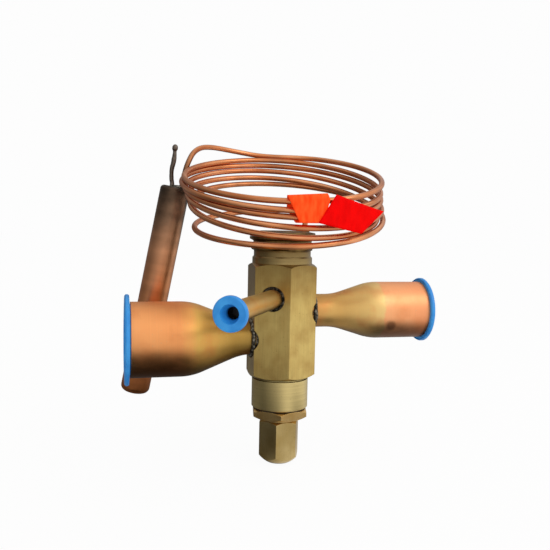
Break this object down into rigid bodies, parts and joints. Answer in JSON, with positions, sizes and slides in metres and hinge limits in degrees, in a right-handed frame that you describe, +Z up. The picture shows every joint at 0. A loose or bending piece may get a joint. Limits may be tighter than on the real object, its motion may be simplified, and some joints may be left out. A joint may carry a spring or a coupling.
{
  "type": "thermostatic expansion valve",
  "caption": "Refrigerant expansion valve: hexagonal brass body, two solder sockets, equalizer tube, diaphragm head, coiled capillary and sensing bulb.",
  "frame": {"origin": "centre of the seal cap's flat end, on the valve's main axis", "axes": "+Z up the main axis from the seal cap to the power head, +X out along the inlet tube, -X out along the outlet tube"},
  "size_m": [0.1292, 0.1021, 0.1359],
  "materials": {
    "brass": "satin machined",
    "copper_tube": "drawn, heat-tinted by brazing",
    "capillary_copper": "drawn, bright",
    "bulb_copper": "dull, heat-darkened at the top",
    "braze_filler": "dark flux-stained filler",
    "blue_polyethylene": "moulded, semi-matte",
    "stainless": "turned",
    "head_steel": "pressed, dull",
    "spring_steel": "drawn wire",
    "seal_ptfe": "moulded",
    "red_tape": "thin plastic film"
  },
  "bodies": {
    "valve": {"valve_body": "brass", "inlet_tube": "copper_tube", "outlet_tube": "copper_tube", "equalizer_tube": "copper_tube", "inlet_braze_ring": "braze_filler", "outlet_braze_ring": "braze_filler", "equalizer_braze_ring": "braze_filler", "orifice_seat": "stainless", "rod_seal": "seal_ptfe", "seal_washer": "stainless", "superheat_spring": "spring_steel", "adjuster_housing": "brass", "housing_gasket": "seal_ptfe", "stem_packing": "seal_ptfe", "packing_gland": "brass", "head_base": "brass", "diaphragm": "head_steel", "head_cover": "head_steel", "sensing_bulb": "bulb_copper", "bulb_tail": "capillary_copper", "capillary_tube": "capillary_copper", "marker_tape": "red_tape"},
    "inlet_plug": {"inlet_plug": "blue_polyethylene"},
    "outlet_plug": {"outlet_plug": "blue_polyethylene"},
    "equalizer_plug": {"equalizer_plug": "blue_polyethylene"},
    "pin_group": {"thrust_pad": "stainless", "push_rod": "stainless", "valve_cone": "stainless", "spring_carrier": "brass"},
    "spring_plate": {"spring_plate": "brass"},
    "adjusting_stem": {"adjusting_stem": "stainless"},
    "cap_gasket": {"cap_gasket": "seal_ptfe"},
    "seal_cap": {"seal_cap": "brass"}
  },
  "joints": [
    {"name": "inlet_plug_pull", "type": "slide", "parent": "valve", "child": "inlet_plug", "axis": [1, 0, 0], "range_m": [0, 0.06]},
    {"name": "outlet_plug_pull", "type": "slide", "parent": "valve", "child": "outlet_plug", "axis": [-1, 0, 0], "range_m": [0, 0.06]},
    {"name": "equalizer_plug_pull", "type": "slide", "parent": "valve", "child": "equalizer_plug", "axis": [-0.5, -0.866, 0], "range_m": [0, 0.04]},
    {"name": "pin_lift", "type": "slide", "parent": "valve", "child": "pin_group", "axis": [0, 0, -1], "range_m": [0, 0.0008]},
    {"name": "spring_plate_travel", "type": "slide", "parent": "valve", "child": "spring_plate", "axis": [0, 0, 1], "range_m": [-0.0024, 0.0024], "deforming": ["superheat_spring"]},
    {"name": "stem_turn", "type": "hinge", "parent": "spring_plate", "child": "adjusting_stem", "pos_m": [0, 0, 0.01], "axis": [0, 0, 1], "range_deg": [-864, 864]},
    {"name": "cap_travel", "type": "slide", "parent": "valve", "child": "cap_gasket", "axis": [0, 0, -1], "range_m": [0, 0.012]},
    {"name": "cap_turn", "type": "hinge", "parent": "cap_gasket", "child": "seal_cap", "pos_m": [0, 0, 0.01], "axis": [0, 0, -1], "range_deg": [0, 4320]}
  ],
  "couplings": [
    {"joint": "stem_turn", "follows": "spring_plate_travel", "rad_per_m": 6283.2},
    {"joint": "cap_turn", "follows": "cap_travel", "rad_per_m": 6283.2}
  ]
}
